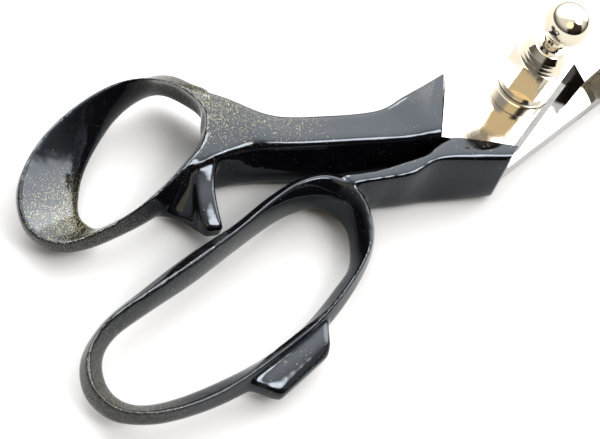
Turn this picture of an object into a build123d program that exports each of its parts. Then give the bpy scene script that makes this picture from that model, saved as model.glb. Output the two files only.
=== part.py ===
from build123d import *
import os

os.makedirs("parts", exist_ok=True)

# ---- driving dimensions, millimetres, +X to the blade tips, +Z up the pivot bolt ----
STACK = 16.0            # both blades together at the pivot
LIP = 17.0              # ends of the castings, just above the ricasso
MID = 8.0               # mean plane where the two blades meet
BLADE_LEN = 98.0        # pivot to tip
HALF_W = 13.0           # back edge of either blade from the pivot line
RUN_GAP = 0.05          # flat bearing faces stand this far either side of MID
TOOTH_GAP = 0.15        # toothed faces stand this far either side of MID
TOOTH_PITCH = 4.8
TOOTH_RISE = 1.25       # crest above, root below the mean plane
TOOTH_START = 26.0      # radius where the concentric grooves begin
TOOTH_COUNT = 16
BLADE_FOOT = 0.0        # underside of the lower blade lies on the table plane
STEP = 0.4              # polished ricasso stands above the satin blade
STEP_X = 21.5

PIN_R = 4.0             # pivot shoulder
PIN_RUN = 0.05          # running clearance on the shoulder and stud
ROOT = 2.0              # depth the grooves need behind the mean plane
REACH = 5.0             # cutters run this far past a face
FAR = 200.0             # half side of the largest cutters
HEAD_R = 8.0
HEAD_H = 3.0
KEY_R = 1.25            # round key between bolt head and lower blade
STUD_R = 3.0            # threaded stud above the shoulder
STUD_TOP = 34.4
STUD_CHAMFER = 0.5

WASHER_R = 7.6
WASHER_H = 1.9
WASHER_CHAMFER = 0.3
SPRING_R = 7.0
SPRING_H = 0.8
NUT_AF = 12.2           # across flats
NUT_TURN = -5.0         # degrees the hexagon stands from the blade line
NUT_BASE_R = 6.9        # round face under the hexagon
NUT_BASE_H = 1.6
NUT_FLAT_H = 9.0
NUT_CONE_H = 2.6
CONE_R = 4.9
KNOB_H = 3.6            # cone and collar below the neck
BALL_R = 5.5
BALL_Z = 42.4

TANG_LOW = 9.6          # finger tang between these heights
TANG_HIGH = 14.4
TANG_FIT = 0.02         # the castings close round the tangs
BOW_LOW = 2.0
BOW_ROUND = 1.2
SHANK_TOP_R = 1.4
SHANK_FOOT_R = 0.8
THROAT = 4.5            # height of the narrowest part of either bow

bore_r = STUD_R + PIN_RUN
spring_z = STACK + WASHER_H
nut_z = spring_z + SPRING_H
hex_z = nut_z + NUT_BASE_H
cone_z = hex_z + NUT_FLAT_H
knob_z = cone_z + NUT_CONE_H

# ---- plan outlines and sections ----

BLADE_PLAN = [
    (-29.2, 1.4), (-15.0, HALF_W), (60.0, HALF_W), (84.0, 10.8), (96.5, 7.6), (BLADE_LEN, 6.0),
    (BLADE_LEN, -2.0), (97.0, -3.0), (18.0, -8.7), (19.4, -5.0), (-14.0, -12.4),
]
FINGER_TANG = [(-20.5, -4.5), (-29.5, -1.6), (-43.0, 2.2), (-43.0, -0.2), (-24.0, -8.0), (-16.5, -8.2)]
THUMB_TANG = [(-24.5, 1.0), (-29.0, 3.2), (-43.0, 11.6), (-42.5, 14.0), (-28.0, 8.8), (-19.5, 5.5)]

LAP_HIGH = MID + 0.2    # finger casting bridges the lower ricasso above this height
LAP_LOW = MID - 0.2     # thumb casting reaches under the upper ricasso below this height

# Shank sections across X: station, front edge at table and on top, far edge on top and at table, height
FINGER_SHANK = [
    (-12.0, -19.0, -16.0, -4.0, -4.0, LIP),
    (-19.0, -16.2, -13.0, -2.0, -2.0, LIP),
    (-26.0, -12.8, -8.2, -0.4, -0.4, 16.8),
    (-34.0, -8.2, -3.4, 0.8, 1.2, 16.4),
    (-42.5, -3.6, -2.0, 2.2, 3.6, 15.6),
    (-49.0, -0.4, 1.0, 4.8, 6.8, 14.8),
    (-56.0, 1.5, 4.6, 8.4, 11.0, 13.8),
]
THUMB_SHANK = [
    (-10.0, -10.0, -9.6, 13.8, 14.4, LIP),
    (-20.0, -4.2, -3.2, 14.1, 14.8, LIP),
    (-29.0, 0.5, 1.5, 15.0, 15.6, 16.8),
    (-37.0, 4.0, 5.6, 16.0, 16.8, 15.7),
    (-49.0, 9.2, 12.6, 22.2, 23.0, 15.2),
    (-60.0, 15.4, 18.8, 29.6, 30.4, 15.0),
    (-69.0, 20.6, 24.6, 42.0, 42.4, 14.8),
    (-76.0, 24.6, 29.0, 34.0, 35.0, 14.2),
]

# Plan outlines that trim each casting back from the blades, above and below the lap
LEDGE = [(-29.2, 1.4), (-14.0, -12.4), (-13.4, -30.0), (20.0, -30.0), (20.0, 20.0), (-29.2, 20.0)]
WALL = [(-30.5, -0.9), (-15.9, -13.6), (-15.9, -30.0), (20.0, -30.0), (20.0, 20.0), (-30.5, 20.0)]
POINT = Plane(origin=(-18.8, -13.1, STACK), z_dir=(0.23, -0.965, 0.12))

# Bows: widest loop outside, loop inside at the throat, loop inside carried up to the ricasso height
FINGER_RIM = [
    (-52.8, -2.6), (-59.4, -9.4), (-71.5, -14.2), (-86.0, -17.2), (-101.5, -17.6), (-114.5, -15.6),
    (-125.6, -11.6), (-132.6, -6.7), (-135.4, -2.0), (-135.4, 4.0), (-131.3, 9.9), (-123.0, 13.2),
    (-112.0, 14.2), (-99.5, 14.7), (-86.0, 14.4), (-74.0, 15.0), (-64.5, 14.8), (-56.0, 11.6),
    (-52.5, 5.0),
]
FINGER_THROAT = [
    (-60.6, -1.5), (-66.5, -7.8), (-73.5, -10.0), (-87.5, -12.8), (-100.0, -12.8), (-112.0, -10.6),
    (-121.5, -8.0), (-127.5, -5.0), (-130.0, -1.0), (-129.2, 3.5), (-126.0, 7.5), (-120.5, 9.5),
    (-112.0, 9.6), (-99.0, 9.3), (-86.0, 10.0), (-74.0, 10.2), (-67.0, 9.3), (-62.2, 7.2),
    (-59.8, 3.0),
]
FINGER_MOUTH = [
    (-56.6, -2.0), (-61.4, -8.0), (-73.0, -12.2), (-85.6, -15.0), (-102.0, -15.2), (-114.8, -14.6),
    (-125.8, -11.4), (-132.6, -7.2), (-135.4, -2.4), (-134.6, 4.2), (-130.4, 9.2), (-123.2, 11.6),
    (-112.0, 11.4), (-99.0, 11.0), (-86.0, 11.4), (-75.0, 12.4), (-66.0, 12.2), (-60.0, 9.4),
    (-57.0, 4.2),
]
THUMB_RIM = [
    (-65.0, 42.0), (-67.3, 48.6), (-71.8, 53.8), (-80.0, 56.8), (-90.0, 57.8), (-101.5, 56.4),
    (-111.4, 53.0), (-118.7, 48.4), (-122.6, 42.4), (-123.2, 37.0), (-119.6, 32.1), (-113.4, 29.4),
    (-106.0, 27.8), (-97.0, 26.8), (-87.0, 27.2), (-76.0, 29.0),
]
THUMB_THROAT = [
    (-69.0, 41.0), (-70.0, 47.5), (-73.5, 52.0), (-79.5, 53.2), (-87.5, 51.3), (-96.5, 46.8),
    (-102.0, 43.0), (-105.5, 39.5), (-107.8, 36.5), (-108.0, 33.8), (-107.0, 32.2), (-104.3, 31.5),
    (-98.0, 31.0), (-90.5, 31.7), (-82.5, 33.8), (-75.0, 36.6),
]
THUMB_MOUTH = [
    (-74.6, 38.8), (-74.6, 45.4), (-77.4, 50.0), (-83.0, 53.8), (-91.0, 55.2), (-101.8, 54.0),
    (-111.9, 51.4), (-121.0, 47.6), (-129.0, 44.0), (-133.0, 39.0), (-129.0, 34.2), (-119.0, 30.6),
    (-106.0, 29.4), (-95.2, 30.0), (-87.4, 31.6), (-80.8, 34.2),
]
FINGER_CROWN = Plane(origin=(-100, 0, 12.0), z_dir=(-0.03, -0.09, 1))
THUMB_CROWN = Plane(origin=(-100, 42, 12.4), z_dir=(-0.084, -0.12, 1))

# Lugs on the bows, with the slope of their upper faces
REST_LUG = [
    (-108.0, -14.0), (-105.0, -19.0), (-102.8, -22.6), (-87.6, -21.8), (-85.6, -20.0), (-82.0, -14.0),
]
REST_CROWN = Plane(origin=(-95, -18, 9.0), z_dir=(0, -0.4, 1))
STOP_LUG = [
    (-92.6, 28.2), (-90.0, 24.4), (-89.6, 17.0), (-88.4, 15.4), (-86.2, 15.0), (-85.2, 15.8),
    (-83.6, 19.4), (-81.6, 23.6), (-78.0, 28.2),
]
STOP_CROWN = Plane(origin=(-86, 26, 12.0), z_dir=(0, -0.42, 1))


# ---- shape helpers ----

def outline(*pts):
    """Straight-sided closed face."""
    with BuildSketch() as sk:
        with BuildLine():
            Polyline(*pts, close=True)
        make_face()
    return sk.sketch


def mirrored(pts, side):
    """Points of the upper half (side +1) or of its mirror image (side -1)."""
    return [(x, y * side) for x, y in pts]


def ring_face(pts):
    """Smooth closed loop through a few points."""
    with BuildSketch() as sk:
        with BuildLine():
            Spline(*pts, periodic=True)
        make_face()
    return sk.sketch


def wave_section(gap, far_z):
    """Radial section, on the -Y side, between the saw-tooth mating surface and far_z."""
    flat = MID + gap / 3
    pts = [(0, flat), (TOOTH_START - 1, flat), (TOOTH_START, MID + gap)]
    for i in range(TOOTH_COUNT):
        r = TOOTH_START + i * TOOTH_PITCH
        pts.append((r + TOOTH_PITCH / 4, MID + gap + TOOTH_RISE))
        pts.append((r + TOOTH_PITCH * 3 / 4, MID + gap - TOOTH_RISE))
    pts.append((BLADE_LEN + REACH, MID + gap))
    with BuildSketch(Plane((0, 0, 0), x_dir=(0, -1, 0), z_dir=(-1, 0, 0))) as sk:
        with BuildLine():
            Polyline(*pts, (BLADE_LEN + REACH, far_z), (0, far_z), close=True)
        make_face()
    return sk.sketch


def shank_section(x, base_near, top_near, top_far, base_far, height):
    """Flat-bottomed section with a rounded top, square to X."""
    with BuildSketch(Plane.YZ.offset(x)) as sk:
        with BuildLine():
            Polyline(
                (base_near, 0), (top_near, height), (top_far, height), (base_far, 0), close=True,
            )
        make_face()
        fillet(sk.vertices().group_by(Axis.Y)[-1], radius=SHANK_TOP_R)
        fillet(sk.vertices().group_by(Axis.Y)[0], radius=SHANK_FOOT_R)
    return sk.sketch


def shank(sections):
    """Casting round the blade tail, flush with the table and with the lip height."""
    with BuildPart() as body:
        for row in sections:
            add(shank_section(*row))
        loft()
        extrude(Plane.XY.offset(-REACH) * SLOPE, amount=REACH, mode=Mode.SUBTRACT)
        extrude(Plane.XY.offset(LIP) * SLOPE, amount=REACH, mode=Mode.SUBTRACT)
    return body.part


def crowned(face, crown):
    """Prism from the underside of the bows up to a sloping plane."""
    with BuildPart() as body:
        extrude(Plane.XY.offset(BOW_LOW) * face, amount=STACK)
        extrude(crown * SLOPE, amount=FAR, mode=Mode.SUBTRACT)
    return body.part


def funnel(throat, mouth):
    """Hole of a bow: upright below the throat, opening out above it."""
    with BuildPart() as hole:
        add(Plane.XY.offset(THROAT) * ring_face(throat))
        add(Plane.XY.offset(STACK) * ring_face(mouth))
        loft()
        extrude(ring_face(throat), amount=THROAT)
    return hole.part


def bow(rim, crown):
    """Solid of a bow before its hole is cut, rounded outside."""
    with BuildPart() as band:
        add(crowned(ring_face(rim), crown))
        fillet(band.edges(), BOW_ROUND)
    return band.part


REAR_HALF = outline((-60, -40), (0, -40), (0, 40), (-60, 40))
SLOPE = outline((-FAR, -FAR), (FAR, -FAR), (FAR, FAR), (-FAR, FAR))
THUMB_LEDGE = outline(*mirrored(LEDGE, -1))
THUMB_WALL = outline(*mirrored(WALL, -1))
FINGER_POCKET = offset(outline(*FINGER_TANG), amount=TANG_FIT, kind=Kind.INTERSECTION)
THUMB_POCKET = Plane.XY.offset(STACK - TANG_HIGH) * offset(
    outline(*THUMB_TANG), amount=TANG_FIT, kind=Kind.INTERSECTION
)

# ---- steel ----

with BuildPart() as finger_blade:
    extrude(Plane.XY.offset(MID - ROOT) * outline(*BLADE_PLAN), amount=STACK - MID + ROOT)
    extrude(Plane.XY.offset(TANG_LOW) * outline(*FINGER_TANG), amount=TANG_HIGH - TANG_LOW)
    with BuildSketch(Plane.XY.offset(STACK)):
        with Locations((STEP_X + 50, 0)):
            Rectangle(100, 60)
    extrude(amount=-STEP, mode=Mode.SUBTRACT)
    choil = finger_blade.edges().filter_by_position(Axis.Z, STACK - 0.01, STACK + 0.01)
    chamfer(choil.sort_by_distance((2.7, -8.7, STACK))[0], length=1.6)
    revolve(wave_section(TOOTH_GAP, -REACH), axis=Axis.Z, revolution_arc=180, mode=Mode.SUBTRACT)
    extrude(Plane.XY.offset(-REACH) * REAR_HALF, amount=MID + REACH + RUN_GAP, mode=Mode.SUBTRACT)
    with Locations((0, 0, STACK)):
        Hole(radius=PIN_R + PIN_RUN)
finger_blade.part.label = "finger_blade"
export_step(finger_blade.part, "parts/finger_blade.step")

with BuildPart() as thumb_blade:
    extrude(Plane.XY.offset(BLADE_FOOT) * outline(*mirrored(BLADE_PLAN, -1)), amount=MID + ROOT)
    extrude(Plane.XY.offset(STACK - TANG_HIGH) * outline(*THUMB_TANG), amount=TANG_HIGH - TANG_LOW)
    revolve(wave_section(-TOOTH_GAP, STACK + REACH), axis=Axis.Z, revolution_arc=180, mode=Mode.SUBTRACT)
    extrude(Plane.XY.offset(MID - RUN_GAP) * REAR_HALF, amount=MID + REACH, mode=Mode.SUBTRACT)
    with Locations((0, 0, MID)):
        Hole(radius=PIN_R)
    with BuildSketch(Plane.XY.offset(BLADE_FOOT)):
        Circle(HEAD_R)
        with Locations((HEAD_R, 0)):
            Circle(KEY_R)
    extrude(amount=HEAD_H, mode=Mode.SUBTRACT)
thumb_blade.part.label = "thumb_blade"
export_step(thumb_blade.part, "parts/thumb_blade.step")

# ---- pivot hardware ----

with BuildPart() as pivot_bolt:
    with BuildSketch(Plane.XY.offset(BLADE_FOOT)):
        Circle(HEAD_R)
        with Locations((HEAD_R, 0)):
            Circle(KEY_R, mode=Mode.SUBTRACT)
    extrude(amount=HEAD_H)
    with BuildSketch(Plane.XY.offset(BLADE_FOOT)):
        Circle(PIN_R)
    extrude(amount=STACK - BLADE_FOOT)
    with BuildSketch(Plane.XY.offset(STACK)):
        Circle(STUD_R)
    extrude(amount=STUD_TOP - STACK)
    chamfer(pivot_bolt.edges().filter_by(GeomType.CIRCLE).sort_by(Axis.Z)[-1], length=STUD_CHAMFER)
pivot_bolt.part.label = "pivot_bolt"
export_step(pivot_bolt.part, "parts/pivot_bolt.step")

with BuildPart() as head_key:
    with BuildSketch(Plane.XY.offset(BLADE_FOOT)):
        with Locations((HEAD_R, 0)):
            Circle(KEY_R)
    extrude(amount=HEAD_H)
head_key.part.label = "head_key"
export_step(head_key.part, "parts/head_key.step")

with BuildPart() as washer:
    with BuildSketch(Plane.XY.offset(STACK)):
        Circle(WASHER_R)
        Circle(bore_r, mode=Mode.SUBTRACT)
    extrude(amount=WASHER_H)
    top_rings = washer.edges().filter_by(GeomType.CIRCLE).group_by(Axis.Z)[-1]
    chamfer(top_rings.sort_by(SortBy.RADIUS)[-1], length=WASHER_CHAMFER)
washer.part.label = "washer"
export_step(washer.part, "parts/washer.step")

with BuildPart() as spring_washer:
    with BuildSketch(Plane.XZ):
        with BuildLine():
            Polyline(
                (bore_r, spring_z + 0.3), (SPRING_R, spring_z),
                (SPRING_R, spring_z + 0.55), (bore_r, spring_z + SPRING_H), close=True,
            )
        make_face()
    revolve(axis=Axis.Z)
spring_washer.part.label = "spring_washer"
export_step(spring_washer.part, "parts/spring_washer.step")

with BuildPart() as hex_nut:
    with BuildSketch(Plane.XY.offset(nut_z)):
        Circle(NUT_BASE_R)
    extrude(amount=NUT_BASE_H)
    with BuildSketch(Plane.XY.offset(hex_z)):
        RegularPolygon(radius=NUT_AF / 2, side_count=6, major_radius=False, rotation=NUT_TURN)
    extrude(amount=NUT_FLAT_H)
    with BuildSketch(Plane.XY.offset(cone_z)):
        Circle(NUT_AF / 2)
    with BuildSketch(Plane.XY.offset(knob_z)):
        Circle(CONE_R)
    loft()
    with Locations((0, 0, knob_z)):
        Hole(radius=bore_r)
hex_nut.part.label = "hex_nut"
export_step(hex_nut.part, "parts/hex_nut.step")

with BuildPart() as ball_knob:
    with BuildSketch(Plane.XZ):
        with BuildLine():
            Polyline(
                (0, knob_z), (CONE_R, knob_z), (3.9, knob_z + 1.8), (3.6, knob_z + 2.0),
                (3.9, knob_z + 2.4), (3.9, knob_z + KNOB_H), (2.8, knob_z + KNOB_H + 0.5),
                (2.8, BALL_Z - 3), (0, BALL_Z - 3), close=True,
            )
        make_face()
    revolve(axis=Axis.Z)
    with Locations((0, 0, BALL_Z)):
        Sphere(BALL_R)
    with BuildSketch(Plane.XY.offset(knob_z)):
        Circle(bore_r)
    extrude(amount=STUD_TOP + 0.4 - knob_z, mode=Mode.SUBTRACT)
ball_knob.part.label = "ball_knob"
export_step(ball_knob.part, "parts/ball_knob.step")


# ---- castings ----

with BuildPart() as finger_handle:
    add(shank(FINGER_SHANK))
    extrude(Plane.XY.offset(LAP_HIGH) * outline(*LEDGE), amount=STACK, mode=Mode.SUBTRACT)
    extrude(Plane.XY.offset(-REACH) * outline(*WALL), amount=LAP_HIGH + REACH, mode=Mode.SUBTRACT)
    extrude(POINT * SLOPE, amount=FAR, mode=Mode.SUBTRACT)
    add(bow(FINGER_RIM, FINGER_CROWN))
    add(crowned(outline(*REST_LUG), REST_CROWN))
    add(funnel(FINGER_THROAT, FINGER_MOUTH), mode=Mode.SUBTRACT)
    extrude(Plane.XY.offset(TANG_LOW) * FINGER_POCKET, amount=TANG_HIGH - TANG_LOW, mode=Mode.SUBTRACT)
finger_handle.part.label = "finger_handle"
export_step(finger_handle.part, "parts/finger_handle.step")

with BuildPart() as thumb_handle:
    add(shank(THUMB_SHANK))
    extrude(Plane.XY.offset(-REACH) * THUMB_LEDGE, amount=LAP_LOW + REACH, mode=Mode.SUBTRACT)
    extrude(Plane.XY.offset(LAP_LOW) * THUMB_WALL, amount=STACK, mode=Mode.SUBTRACT)
    add(bow(THUMB_RIM, THUMB_CROWN))
    add(crowned(outline(*STOP_LUG), STOP_CROWN))
    add(funnel(THUMB_THROAT, THUMB_MOUTH), mode=Mode.SUBTRACT)
    extrude(THUMB_POCKET, amount=TANG_HIGH - TANG_LOW, mode=Mode.SUBTRACT)
thumb_handle.part.label = "thumb_handle"
export_step(thumb_handle.part, "parts/thumb_handle.step")
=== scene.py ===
import math

import bmesh
import bpy
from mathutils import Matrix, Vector


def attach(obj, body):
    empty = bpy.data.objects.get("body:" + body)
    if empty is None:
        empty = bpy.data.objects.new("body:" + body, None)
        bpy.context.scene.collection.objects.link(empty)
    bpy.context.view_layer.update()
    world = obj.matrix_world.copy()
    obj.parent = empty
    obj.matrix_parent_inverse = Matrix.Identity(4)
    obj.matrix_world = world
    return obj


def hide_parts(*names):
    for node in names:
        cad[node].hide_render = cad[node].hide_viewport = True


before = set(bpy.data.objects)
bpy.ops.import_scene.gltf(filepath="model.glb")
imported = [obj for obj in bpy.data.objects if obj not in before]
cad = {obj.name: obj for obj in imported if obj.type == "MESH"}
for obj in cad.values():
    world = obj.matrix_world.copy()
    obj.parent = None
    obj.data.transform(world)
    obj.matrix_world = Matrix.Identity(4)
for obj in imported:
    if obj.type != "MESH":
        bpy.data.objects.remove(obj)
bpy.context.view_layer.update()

# Lengths in this script are in mm; MM turns them into Blender's metres.
MM = 0.001
LIP = 17.0              # flat tops of the castings, 1 mm above the ricasso
LAP = 8.0               # height where the two halves lap
BENEATH = -5.0          # where cutters start, clear under a casting
CLEAR = 30.0            # where cutters end, clear above a casting

# Castings
VOXEL = 0.42            # grid that melts a casting's parts together
RELAX_STEPS = 18        # smoothing passes that follow
CASTING_ANGLE = 50      # edges sharper than this stay crisp, degrees

# Colours, linear
ENAMEL = (0.002, 0.002, 0.003)
# Blue cast on the enamel's reflections: painted sky tint, standing in for cool light from the sky
PAINTED_SKY_TINT = (0.84, 0.92, 1.0)
GOLD = (0.42, 0.36, 0.19)
DUST = (0.010, 0.010, 0.007)
STEEL = (0.42, 0.41, 0.40)
SATIN = (0.36, 0.35, 0.325)
NICKEL = (0.60, 0.55, 0.455)
FLOOR = (0.303, 0.303, 0.303)
DARK = (0.085, 0.07, 0.06)
WARM = (1.90, 1.62, 1.14)

# Gold dust: flecks by density, and the clouds where it is thick (centre, radius, density)
FLECK_SCALE = 7000.0            # cells in a metre
FLECK_SIZES = (0.12, 0.42)      # radius of a fleck, smallest and largest, in cells
STRAY_FLECKS = 0.03             # highest density outside the clouds
FINGER_CLOUDS = (((-132.0, 0.0, 6.0), 24.0, 0.34), ((-104.0, 11.0, 6.0), 26.0, 0.06))
THUMB_CLOUDS = (
    ((-106.0, 36.0, 5.0), 14.0, 0.60), ((-118.0, 36.0, 8.0), 16.0, 0.40),
    ((-69.0, 43.0, 14.0), 19.0, 0.50), ((-56.0, 30.0, 16.0), 15.0, 0.22),
)

# Blades: x where the polished ricasso ends and where the satin part has fully begun
RICASSO_END, SATIN_BEGIN = 21.3, 21.7

# Sky: its bright side, and round patches as lobe() takes them
BRIGHT_SIDE = (0.50, 0.55, 0.68)
UP = (0, 0, 1)
NEAR_BOX = ((0.18, -0.54, 0.82), 10, 19, 20.0)
FAR_BOX = ((0.20, 0.79, 0.58), 10, 24, 13.0)
LOW_BOX = ((0.88, -0.19, 0.44), 16, 24, 6.0)
DARK_SIDE = ((-0.32, -0.87, 0.37), 30, 42, 1.0)
WARM_PATCH = ((-0.60, -0.42, 0.68), 12, 20, 1.0)


# ---------------------------------------------------------------- geometry

def catmull(p0, p1, p2, p3, t):
    """Point a part t of the way from p1 to p2, on a Catmull-Rom curve through all four."""
    return 0.5 * (
        2 * p1 + (p2 - p0) * t + (2 * p0 - 5 * p1 + 4 * p2 - p3) * t * t
        + (3 * p1 - p0 - 3 * p2 + p3) * t * t * t
    )


def smooth_rows(rows, steps, closed):
    """Rows of Vectors, with more rows worked out between them."""
    n = len(rows)
    spans = n if closed else n - 1
    out = []
    for i in range(spans):
        if closed:
            near = [rows[(i + k) % n] for k in (-1, 0, 1, 2)]
        else:
            near = [rows[min(max(i + k, 0), n - 1)] for k in (-1, 0, 1, 2)]
        for s in range(steps):
            t = s / steps
            out.append([catmull(*column, t) for column in zip(*near)])
    if not closed:
        out.append(rows[-1])
    return out


def round_section(corners, steps=6):
    """Closed cubic B-spline round a section's control corners."""
    n = len(corners)
    out = []
    for i in range(n):
        a, b, c, d = (corners[(i + k) % n] for k in (-1, 0, 1, 2))
        for s in range(steps):
            t = s / steps
            out.append(
                (a * (1 - t) ** 3 + b * (3 * t ** 3 - 6 * t * t + 4)
                 + c * (-3 * t ** 3 + 3 * t * t + 3 * t + 1) + d * t ** 3) / 6
            )
    return out


def add_object(name, mesh):
    obj = bpy.data.objects.new(name, mesh)
    bpy.context.scene.collection.objects.link(obj)
    return obj


def skin(name, rows, closed):
    """Mesh over rows of section points, capped at the ends when open."""
    n = len(rows[0])
    verts = [p * MM for row in rows for p in row]
    faces = []
    spans = len(rows) if closed else len(rows) - 1
    for i in range(spans):
        a = i * n
        b = ((i + 1) % len(rows)) * n
        for j in range(n):
            k = (j + 1) % n
            faces.append((a + j, a + k, b + k, b + j))
    if not closed:
        faces.append(tuple(range(n))[::-1])
        faces.append(tuple(range(len(verts) - n, len(verts))))
    mesh = bpy.data.meshes.new(name)
    mesh.from_pydata(verts, [], faces)
    bm = bmesh.new()
    bm.from_mesh(mesh)
    bmesh.ops.recalc_face_normals(bm, faces=bm.faces)
    bm.to_mesh(mesh)
    bm.free()
    return add_object(name, mesh)


def prism(name, outline, low, high, top=None):
    """Solid between a plan outline and the same or another outline higher up."""
    ends = ((outline, low), (top or outline, high))
    return skin(name, [[Vector((x, y, z)) for x, y in plan] for plan, z in ends], False)


def bake(obj):
    """Applies every modifier on obj."""
    deps = bpy.context.evaluated_depsgraph_get()
    mesh = bpy.data.meshes.new_from_object(obj.evaluated_get(deps))
    old = obj.data
    obj.modifiers.clear()
    obj.data = mesh
    bpy.data.meshes.remove(old)


def join(name, parts):
    """One object that holds every part's mesh."""
    bm = bmesh.new()
    for part in parts:
        bm.from_mesh(part.data)
        bpy.data.objects.remove(part)
    mesh = bpy.data.meshes.new(name)
    bm.to_mesh(mesh)
    bm.free()
    return add_object(name, mesh)


def cut(obj, cutter):
    """Takes the cutter away from obj, and removes the cutter."""
    mod = obj.modifiers.new("cut", "BOOLEAN")
    mod.operation = "DIFFERENCE"
    mod.object = cutter
    mod.solver = "EXACT"
    bake(obj)
    bpy.data.objects.remove(cutter)


def cast(name, parts):
    """Melts overlapping solids into one smooth casting."""
    obj = join(name, parts)
    remesh = obj.modifiers.new("remesh", "REMESH")
    remesh.mode = "VOXEL"
    remesh.voxel_size = VOXEL * MM
    relax = obj.modifiers.new("relax", "SMOOTH")
    relax.factor = 0.5
    relax.iterations = RELAX_STEPS
    bake(obj)
    return obj


def shade(obj, angle):
    """Smooth shading, except over edges sharper than the angle."""
    for poly in obj.data.polygons:
        poly.use_smooth = True
    obj.data.set_sharp_from_angle(angle=math.radians(angle))


def fraction(value, start, end):
    """0 on the start's side, 1 on the end's side, and in proportion between them."""
    return min(max((value - start) / (end - start), 0), 1)


def bow_rows(stations):
    """Sections of a bow, from its widest point, crest, narrowest point and underside's height."""
    tuck = 0.2              # how far the underside draws in from both sides
    low_crest, high_crest = 10.5, 13.0      # crests that get no swell, and all of it
    wide_slope, narrow_slope = 7.0, 4.0     # inner slopes that get no swell, and all of it
    swell_out, swell_up = 0.25, 1.2         # part of the slope's width, and mm
    rows = []
    for outer, crest, inner, base in stations:
        outer, crest, inner = Vector(outer), Vector(crest), Vector(inner)
        low_out = Vector((*outer.lerp(inner, tuck).xy, base))
        low_in = Vector((*inner.lerp(outer, tuck).xy, base))
        across = (inner - crest).xy
        fullness = fraction(crest.z, low_crest, high_crest)
        fullness *= fraction(across.length, wide_slope, narrow_slope)
        swell = crest.lerp(inner, 0.5) + Vector((*across * swell_out, swell_up)) * fullness
        rows.append([low_out, outer, outer.lerp(crest, 0.5), crest, crest, swell, inner, low_in])
    return rows


def ring(name, stations):
    """Closed bow through its stations."""
    rows = [round_section(row) for row in smooth_rows(bow_rows(stations), 8, True)]
    return skin(name, rows, True)


def rib(name, stations):
    """Lug that runs out of a bow: top points of both sides, and height of the underside."""
    hold = 0.2              # how close to the top corners the walls stay straight
    rows = []
    for left, right, low in stations:
        b, c = Vector(left), Vector(right)
        a, d = Vector((b.x, b.y, low)), Vector((c.x, c.y, low))
        rows.append([
            a, a.lerp(b, 0.5), b.lerp(a, hold), b, b.lerp(c, 0.5), c,
            c.lerp(d, hold), c.lerp(d, 0.5), d, d.lerp(a, 0.5),
        ])
    rows = [round_section(row) for row in smooth_rows(rows, 6, False)]
    return skin(name, rows, False)


def bar(name, stations):
    """Shank: x, near edge at table and on top, far edge on top and at table, height near and far."""
    near_hold, far_hold = 0.20, 0.15        # how close to the top corners the walls stay straight
    top_start, top_end = 0.26, 0.80         # flat part of the top, from near to far
    rows = []
    for x, near_low, near_top, far_top, far_low, high_near, high_far in stations:
        a = Vector((x, near_low, 0))
        b = Vector((x, near_top, high_near))
        c = Vector((x, far_top, high_far))
        d = Vector((x, far_low, 0))
        rows.append([
            a, a.lerp(b, 0.5), b.lerp(a, near_hold), b, b.lerp(c, top_start), b.lerp(c, top_end), c,
            c.lerp(d, far_hold), c.lerp(d, 0.5), d, d.lerp(a, 0.5),
        ])
    rows = [round_section(row) for row in smooth_rows(rows, 8, False)]
    return skin(name, rows, False)


# ---------------------------------------------------------------- castings

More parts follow.
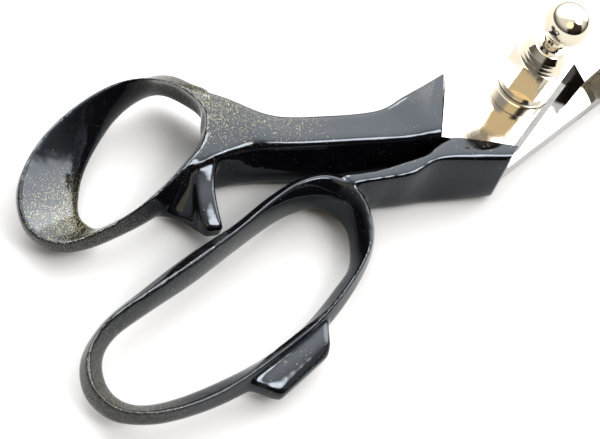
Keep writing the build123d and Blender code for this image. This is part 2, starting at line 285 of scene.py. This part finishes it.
# Stations as bar(), bow_rows() and rib() take them, along the outlines of the CAD castings
FINGER_SHANK = [
    (-8.0, -19.0, -19.6, -4.0, -4.0, 17.2, 17.2),
    (-18.8, -16.4, -13.2, -2.0, -2.0, 17.0, 17.0),
    (-26.0, -12.9, -8.4, -0.3, -0.3, 16.8, 16.8),
    (-32.0, -9.4, -4.4, 0.4, 0.8, 16.6, 16.6),
    (-36.0, -7.0, -2.7, 0.0, 1.8, 16.5, 16.5),
    (-42.5, -3.6, -2.1, 2.1, 3.6, 15.8, 15.6),
    (-48.0, -0.6, 0.5, 4.0, 6.0, 14.9, 14.8),
    (-53.0, 0.5, 3.2, 6.4, 9.4, 14.3, 14.2),
    (-56.0, 1.5, 4.8, 8.2, 11.0, 14.0, 13.8),
]
FINGER_BOW = [
    ((-52.8, -2.6, 6.0), (-57.3, -2.3, 12.5), (-60.6, -1.5, 4.0), 1.5),
    ((-59.4, -9.4, 5.0), (-62.3, -8.6, 11.5), (-66.5, -7.8, 4.5), 2.0),
    ((-71.5, -14.4, 5.0), (-73.2, -12.7, 10.5), (-73.5, -10.0, 5.0), 2.5),
    ((-86.0, -17.4, 5.0), (-86.0, -15.0, 10.5), (-87.5, -12.8, 5.5), 2.5),
    ((-101.5, -17.8, 5.0), (-101.5, -15.2, 10.5), (-100.0, -12.8, 5.5), 2.5),
    ((-114.5, -15.8, 5.0), (-114.0, -14.4, 10.5), (-112.0, -10.6, 5.5), 2.5),
    ((-125.8, -11.8, 5.0), (-124.6, -11.4, 10.5), (-121.5, -8.0, 5.5), 2.5),
    ((-132.8, -6.8, 5.0), (-131.7, -7.0, 10.5), (-127.5, -5.0, 5.5), 2.5),
    ((-135.6, -2.0, 5.0), (-134.8, -2.2, 10.5), (-130.0, -1.0, 5.5), 2.5),
    ((-135.6, 4.0, 5.0), (-134.6, 3.8, 10.5), (-129.2, 3.5, 5.0), 2.5),
    ((-131.5, 10.0, 6.0), (-130.8, 8.8, 10.8), (-126.0, 7.5, 4.5), 2.0),
    ((-123.0, 13.4, 7.0), (-123.5, 11.8, 11.2), (-120.5, 9.5, 4.0), 2.0),
    ((-112.0, 14.4, 8.0), (-112.0, 11.6, 12.5), (-112.0, 9.6, 4.0), 2.0),
    ((-99.5, 15.0, 9.0), (-99.0, 11.2, 13.5), (-99.0, 9.3, 4.0), 2.0),
    ((-86.0, 14.6, 9.5), (-86.0, 11.6, 13.5), (-86.0, 10.0, 4.0), 2.0),
    ((-74.0, 15.2, 10.0), (-75.0, 12.6, 13.5), (-74.0, 10.2, 4.0), 2.0),
    ((-64.5, 14.8, 10.0), (-66.0, 12.5, 13.5), (-67.0, 9.3, 4.0), 1.5),
    ((-56.0, 12.0, 10.0), (-59.5, 9.8, 13.5), (-62.2, 7.2, 4.0), 1.5),
    ((-52.5, 5.0, 9.0), (-56.3, 4.2, 13.5), (-59.8, 3.0, 4.0), 1.5),
]
REST_LUG = [
    ((-109.0, -14.0, 8.8), (-80.0, -13.5, 9.0), 2.5),
    ((-105.8, -18.0, 8.6), (-84.0, -18.0, 8.9), 2.5),
    ((-103.9, -20.9, 8.0), (-85.6, -20.2, 8.3), 2.5),
    ((-102.4, -22.6, 6.8), (-87.4, -21.8, 7.1), 3.0),
]

THUMB_SHANK = [
    (-8.0, -10.0, -10.0, 14.0, 14.4, 18.0, 18.0),
    (-20.0, -4.4, -3.4, 14.4, 15.0, 17.8, 17.8),
    (-29.0, 0.4, 1.4, 15.2, 15.6, 16.9, 17.0),
    (-37.0, 3.9, 5.7, 16.2, 16.8, 15.8, 15.7),
    (-49.0, 9.2, 12.8, 22.4, 23.0, 15.6, 15.0),
    (-60.0, 15.4, 19.0, 29.8, 30.4, 15.6, 14.6),
    (-66.5, 19.0, 23.0, 40.0, 39.8, 15.4, 14.6),
    (-70.0, 21.0, 25.4, 43.4, 39.4, 15.0, 14.4),
    (-74.0, 23.4, 26.8, 37.0, 36.0, 14.6, 14.4),
    (-79.5, 26.0, 28.2, 33.0, 33.0, 13.8, 14.0),
    (-85.0, 27.8, 29.4, 31.6, 31.6, 12.4, 12.8),
]
THUMB_BOW = [
    ((-66.6, 41.6, 12.5), (-73.8, 38.5, 14.8), (-69.0, 41.0, 5.0), 2.0),
    ((-68.5, 48.2, 12.0), (-73.8, 45.5, 14.8), (-70.0, 47.5, 5.0), 2.5),
    ((-71.2, 54.0, 10.0), (-76.8, 50.4, 14.8), (-73.5, 52.3, 5.0), 2.5),
    ((-80.0, 57.0, 9.0), (-82.5, 54.7, 14.8), (-79.5, 53.2, 4.0), 2.5),
    ((-90.0, 58.2, 9.0), (-91.0, 56.0, 14.8), (-87.5, 51.3, 4.0), 2.5),
    ((-101.5, 56.7, 9.0), (-102.0, 55.0, 14.5), (-96.5, 46.8, 4.0), 2.5),
    ((-111.5, 53.2, 8.5), (-111.5, 52.2, 13.8), (-102.0, 43.0, 4.0), 2.5),
    ((-118.7, 48.6, 7.5), (-119.0, 47.5, 12.8), (-105.5, 39.5, 4.0), 2.5),
    ((-122.5, 42.5, 7.0), (-122.8, 42.3, 11.2), (-107.8, 36.5, 4.0), 2.5),
    ((-122.7, 37.3, 5.5), (-123.3, 36.8, 10.0), (-108.0, 33.8, 4.5), 2.5),
    ((-119.7, 32.2, 4.5), (-119.5, 32.0, 9.4), (-107.3, 32.0, 5.0), 2.5),
    ((-114.0, 29.4, 4.5), (-112.0, 29.8, 9.8), (-104.3, 31.5, 5.0), 2.0),
    ((-107.5, 28.0, 4.5), (-103.0, 28.9, 11.0), (-98.0, 31.0, 5.0), 2.0),
    ((-98.5, 26.8, 5.0), (-94.0, 29.3, 12.3), (-90.5, 31.7, 5.0), 2.0),
    ((-89.0, 26.8, 6.0), (-86.5, 30.5, 13.4), (-82.5, 33.8, 5.0), 2.0),
    ((-77.0, 28.0, 8.0), (-80.0, 32.4, 14.2), (-75.5, 36.2, 5.0), 2.0),
]
STOP_LUG = [
    ((-83.5, 31.0, 13.2), (-77.0, 28.5, 13.2), 2.0),
    ((-85.6, 27.3, 11.2), (-81.2, 24.9, 11.4), 2.0),
    ((-88.4, 22.5, 9.7), (-83.7, 20.8, 9.9), 2.5),
    ((-89.8, 19.0, 8.3), (-85.4, 17.0, 8.5), 3.0),
    ((-89.5, 16.9, 7.5), (-86.0, 15.3, 7.7), 3.5),
]
STOP_FLANK = [
    ((-99.0, 29.5, 6.5), (-82.0, 30.0, 12.6), 2.0),
    ((-93.4, 26.6, 4.6), (-83.6, 26.4, 11.0), 2.0),
    ((-90.9, 23.0, 4.2), (-86.4, 22.0, 9.4), 2.5),
    ((-89.9, 19.2, 4.2), (-87.6, 18.0, 7.8), 3.0),
]

# Plan outlines cut from the finger casting for the blades, above and below the lap
LEDGE = [(-29.2, 1.4), (-14.0, -12.4), (-13.4, -30.0), (20.0, -30.0), (20.0, 20.0), (-29.2, 20.0)]
WALL = [(-30.5, -0.9), (-15.9, -13.6), (-15.9, -30.0), (20.0, -30.0), (20.0, 20.0), (-30.5, 20.0)]

# Slanted cut along the near side of the finger casting's point: its outline at the foot and at the top
POINT_LOW = [(-60.0, -25.6), (20.0, -6.5), (20.0, -60.0), (-60.0, -60.0)]
POINT_HIGH = [(-60.0, -22.4), (20.0, -3.4), (20.0, -60.0), (-60.0, -60.0)]
POINT_TOP = 20.0

# Plan outline wider than the castings
SLAB = [(-160.0, -60.0), (40.0, -60.0), (40.0, 90.0), (-160.0, 90.0)]


def flipped(outline):
    """The same outline on the thumb side."""
    return [(x, -y) for x, y in outline]


def trim(obj, above, below):
    """Cuts the blade seats out of a casting."""
    cut(obj, prism("above", above, LAP, CLEAR))
    cut(obj, prism("below", below, BENEATH, LAP))


def level(obj):
    """Flat top and flat base."""
    cut(obj, prism("flat_top", SLAB, LIP, CLEAR))
    cut(obj, prism("flat_base", SLAB, BENEATH, 0.0))


def finger_casting():
    obj = cast("finger_casting", [
        bar("shank", FINGER_SHANK),
        ring("bow", FINGER_BOW),
        rib("lug", REST_LUG),
    ])
    trim(obj, LEDGE, WALL)
    cut(obj, prism("point", POINT_LOW, BENEATH, POINT_TOP, POINT_HIGH))
    level(obj)
    return obj


def thumb_casting():
    obj = cast("thumb_casting", [
        bar("shank", THUMB_SHANK),
        ring("bow", THUMB_BOW),
        rib("lug", STOP_LUG),
        rib("flank", STOP_FLANK),
    ])
    trim(obj, flipped(WALL), flipped(LEDGE))
    level(obj)
    return obj


# ---------------------------------------------------------------- materials

def material(name, color, metallic, roughness):
    """New material and its shader node."""
    mat = bpy.data.materials.new(name)
    mat.use_nodes = True
    shader = mat.node_tree.nodes["Principled BSDF"]
    shader.inputs["Base Color"].default_value = (*color, 1)
    shader.inputs["Metallic"].default_value = metallic
    shader.inputs["Roughness"].default_value = roughness
    return mat, shader


# In the helpers below, host is the material or world whose nodes are built.

def node(host, kind, **settings):
    """New shader node; settings name its properties."""
    made = host.node_tree.nodes.new(kind)
    for key, value in settings.items():
        setattr(made, key, value)
    return made


def wire(host, source, target):
    host.node_tree.links.new(source, target)


def feed(host, source, target):
    """Puts a socket's value or a plain number into the target socket."""
    if isinstance(source, (int, float)):
        target.default_value = source
    else:
        wire(host, source, target)


def calc(host, operation, a, b, clamp=True):
    """Sum, product or comparison of two sockets or numbers."""
    made = node(host, "ShaderNodeMath", operation=operation, use_clamp=clamp)
    feed(host, a, made.inputs[0])
    feed(host, b, made.inputs[1])
    return made.outputs["Value"]


def ramp(host, value, low, high, to_low, to_high):
    """Smooth change from to_low to to_high while the value goes from low to high."""
    made = node(host, "ShaderNodeMapRange", interpolation_type="SMOOTHSTEP")
    for key, number in (("From Min", low), ("From Max", high), ("To Min", to_low), ("To Max", to_high)):
        made.inputs[key].default_value = number
    wire(host, value, made.inputs["Value"])
    return made.outputs["Result"]


def blend_colors(host, below, above, mask):
    """Lays a colour over a colour or socket, where the mask is 1."""
    made = node(host, "ShaderNodeMix", data_type="RGBA")
    if isinstance(below, tuple):
        made.inputs["A"].default_value = (*below, 1)
    else:
        wire(host, below, made.inputs["A"])
    made.inputs["B"].default_value = (*above, 1)
    wire(host, mask, made.inputs["Factor"])
    return made.outputs["Result"]


def place(mat, scale=(1, 1, 1)):
    """Object coordinates, stretched by scale."""
    coords = node(mat, "ShaderNodeTexCoord")
    mapping = node(mat, "ShaderNodeMapping")
    mapping.inputs["Scale"].default_value = scale
    wire(mat, coords.outputs["Object"], mapping.inputs["Vector"])
    return mapping.outputs["Vector"]


def noise(mat, vector, scale, detail=3.0):
    tex = node(mat, "ShaderNodeTexNoise")
    tex.inputs["Scale"].default_value = scale
    tex.inputs["Detail"].default_value = detail
    wire(mat, vector, tex.inputs["Vector"])
    return tex.outputs["Fac"]


def bump(mat, shader, height, depth):
    """Relief from a socket, its depth in metres."""
    made = node(mat, "ShaderNodeBump")
    made.inputs["Distance"].default_value = depth
    wire(mat, height, made.inputs["Height"])
    wire(mat, made.outputs["Normal"], shader.inputs["Normal"])


def cloud(mat, vector, centre, radius, density):
    """Density that fades to nothing at the radius from the centre."""
    away = node(mat, "ShaderNodeVectorMath", operation="DISTANCE")
    away.inputs[1].default_value = [c * MM for c in centre]
    wire(mat, vector, away.inputs[0])
    return ramp(mat, away.outputs["Value"], 0.0, radius * MM, density, 0.0)


def enamel(name, clouds):
    """Black enamel with gold flecks, thickest inside the clouds."""
    glossy, dull = 0.06, 0.35       # roughness of bare enamel and of a fleck
    mat, shader = material(name, ENAMEL, 0.0, glossy)
    shader.inputs["IOR"].default_value = 1.47
    # Painted sky tint: the enamel's reflections are turned cool blue in place of a bluish sky
    shader.inputs["Specular Tint"].default_value = (*PAINTED_SKY_TINT, 1)
    vector = place(mat)
    patches = noise(mat, vector, 90.0)
    ripples = noise(mat, vector, 140.0, 2.0)

    density = ramp(mat, patches, 0.35, 0.75, 0.0, STRAY_FLECKS)
    for centre, radius, amount in clouds:
        density = calc(mat, "ADD", density, cloud(mat, vector, centre, radius, amount))

    cells = node(mat, "ShaderNodeTexVoronoi")
    cells.inputs["Scale"].default_value = FLECK_SCALE
    wire(mat, vector, cells.inputs["Vector"])
    draw = node(mat, "ShaderNodeSeparateColor")
    wire(mat, cells.outputs["Color"], draw.inputs["Color"])
    size = ramp(mat, draw.outputs["Green"], 0.0, 1.0, *FLECK_SIZES)
    chosen = calc(mat, "LESS_THAN", draw.outputs["Red"], density)
    inside = calc(mat, "LESS_THAN", cells.outputs["Distance"], size)
    fleck = calc(mat, "MULTIPLY", chosen, inside)

    haze = blend_colors(mat, ENAMEL, DUST, density)
    wire(mat, blend_colors(mat, haze, GOLD, fleck), shader.inputs["Base Color"])
    wire(mat, calc(mat, "MULTIPLY", fleck, 0.5), shader.inputs["Metallic"])
    wire(mat, ramp(mat, fleck, 0.0, 1.0, glossy, dull), shader.inputs["Roughness"])
    bump(mat, shader, ripples, 0.0002)
    return mat


def brushed(name, color, stretch, low, high):
    """Metal with fine lines along one direction, its roughness between low and high."""
    mat, shader = material(name, color, 1.0, low)
    grain = noise(mat, place(mat, stretch), 900.0, 4.0)
    wire(mat, ramp(mat, grain, 0.3, 0.7, low, high), shader.inputs["Roughness"])
    bump(mat, shader, grain, 0.00001)
    return mat


def blade_steel(name):
    """Polished ricasso, satin beyond the step."""
    polished, smudged, satin_extra = 0.04, 0.14, 0.22       # roughness
    mat, shader = material(name, STEEL, 1.0, polished)
    vector = place(mat)
    split = node(mat, "ShaderNodeSeparateXYZ")
    wire(mat, vector, split.inputs["Vector"])
    satin = ramp(mat, split.outputs["X"], RICASSO_END * MM, SATIN_BEGIN * MM, 0.0, 1.0)
    smudges = ramp(mat, noise(mat, vector, 120.0), 0.4, 0.8, polished, smudged)
    rough = calc(mat, "ADD", smudges, calc(mat, "MULTIPLY", satin, satin_extra))
    wire(mat, rough, shader.inputs["Roughness"])
    wire(mat, blend_colors(mat, STEEL, SATIN, satin), shader.inputs["Base Color"])
    bump(mat, shader, noise(mat, place(mat, (1, 14, 1)), 500.0, 4.0), 0.00001)
    return mat


def turned(name, color, roughness, period, depth):
    """Metal with concentric tool marks about the bolt axis, one in each period."""
    mat, shader = material(name, color, 1.0, roughness)
    rings = node(mat, "ShaderNodeTexWave", wave_type="RINGS", rings_direction="Z")
    rings.inputs["Scale"].default_value = 2 * math.pi / (20 * period * MM)     # 20 is Blender's own factor
    rings.inputs["Distortion"].default_value = 0.6
    wire(mat, place(mat), rings.inputs["Vector"])
    marks = noise(mat, place(mat), 700.0)
    wire(mat, ramp(mat, marks, 0.3, 0.8, roughness, roughness + 0.12), shader.inputs["Roughness"])
    bump(mat, shader, rings.outputs["Fac"], depth)
    return mat


def dress(obj, mat):
    """Makes mat the object's only material."""
    obj.data.materials.clear()
    obj.data.materials.append(mat)


def soften(obj, width):
    """Small rounds on the machined edges of a CAD piece."""
    edge = obj.modifiers.new("edge", "BEVEL")
    edge.width = width * MM
    edge.segments = 2
    edge.limit_method = "ANGLE"
    edge.angle_limit = math.radians(30)
    edge.harden_normals = True


# ---------------------------------------------------------------- build

finger = finger_casting()
thumb = thumb_casting()
for piece, body, cad_name, slot, clouds in (
    (finger, "finger_half", "finger_handle", "finger_enamel", FINGER_CLOUDS),
    (thumb, "thumb_half", "thumb_handle", "thumb_enamel", THUMB_CLOUDS),
):
    shade(piece, CASTING_ANGLE)
    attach(piece, body)
    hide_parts(cad_name)
    dress(piece, enamel(slot, clouds))

dress(cad["finger_blade"], blade_steel("upper_steel"))
dress(cad["thumb_blade"], blade_steel("lower_steel"))
dress(cad["pivot_bolt"], turned("bolt_steel", STEEL, 0.20, 0.6, 0.00001))
dress(cad["head_key"], brushed("key_steel", STEEL, (1, 1, 8), 0.2, 0.4))
dress(cad["washer"], turned("washer_nickel", NICKEL, 0.08, 0.5, 0.00001))
dress(cad["spring_washer"], brushed("spring_steel", SATIN, (1, 1, 6), 0.25, 0.45))
dress(cad["hex_nut"], turned("nut_nickel", NICKEL, 0.09, 0.45, 0.000012))
dress(cad["ball_knob"], turned("knob_nickel", NICKEL, 0.03, 0.8, 0.000002))
for cad_name, width in (
    ("finger_blade", 0.12), ("thumb_blade", 0.12), ("washer", 0.15), ("hex_nut", 0.25), ("ball_knob", 0.15),
):
    soften(cad[cad_name], width)

# ---------------------------------------------------------------- floor, light, camera

scene = bpy.context.scene

bpy.ops.mesh.primitive_plane_add(size=6, location=(0, 0, -0.0002))
floor = bpy.context.object
floor.name = "floor"
dress(floor, material("floor_white", FLOOR, 0.0, 0.9)[0])

world = bpy.data.worlds.new("sky")
scene.world = world
world.use_nodes = True
sky = world.node_tree.nodes["Background"]


def facing(direction, low, high, to_low, to_high):
    """Smooth change over the sky with the cosine of the angle from a direction."""
    coords = node(world, "ShaderNodeTexCoord")
    dot = node(world, "ShaderNodeVectorMath", operation="DOT_PRODUCT")
    dot.inputs[1].default_value = Vector(direction).normalized()
    wire(world, coords.outputs["Generated"], dot.inputs[0])
    return ramp(world, dot.outputs["Value"], low, high, to_low, to_high)


def lobe(direction, inner, outer, strength):
    """Soft round patch: full strength inside one angle, nothing outside another, degrees."""
    return facing(direction, math.cos(math.radians(outer)), math.cos(math.radians(inner)), 0.0, strength)


def brightness():
    """Sky that is brightest on one side, dim at the horizon, with three soft boxes."""
    side = facing(BRIGHT_SIDE, 0.30, 0.95, 1.3, 6.4)
    height = facing(UP, 0.05, 0.50, 0.15, 1.0)
    light = calc(world, "MULTIPLY", side, height, clamp=False)
    for box in (NEAR_BOX, FAR_BOX, LOW_BOX):
        light = calc(world, "ADD", light, lobe(*box), clamp=False)
    return light


def tint():
    """White sky with a dark side and a warm patch."""
    color = blend_colors(world, (1, 1, 1), DARK, lobe(*DARK_SIDE))
    return blend_colors(world, color, WARM, lobe(*WARM_PATCH))


wire(world, tint(), sky.inputs["Color"])
wire(world, brightness(), sky.inputs["Strength"])

camera_data = bpy.data.cameras.new("camera")
camera_data.sensor_width = 36.0
camera_data.lens = 78.0
camera = bpy.data.objects.new("camera", camera_data)
scene.collection.objects.link(camera)
camera.location = (-0.2289, -0.0525, 0.253)
camera.rotation_euler = [math.radians(a) for a in (30.79, -16.84, -43.65)]
scene.camera = camera
scene.view_settings.view_transform = "Standard"
scene.view_settings.gamma = 0.85
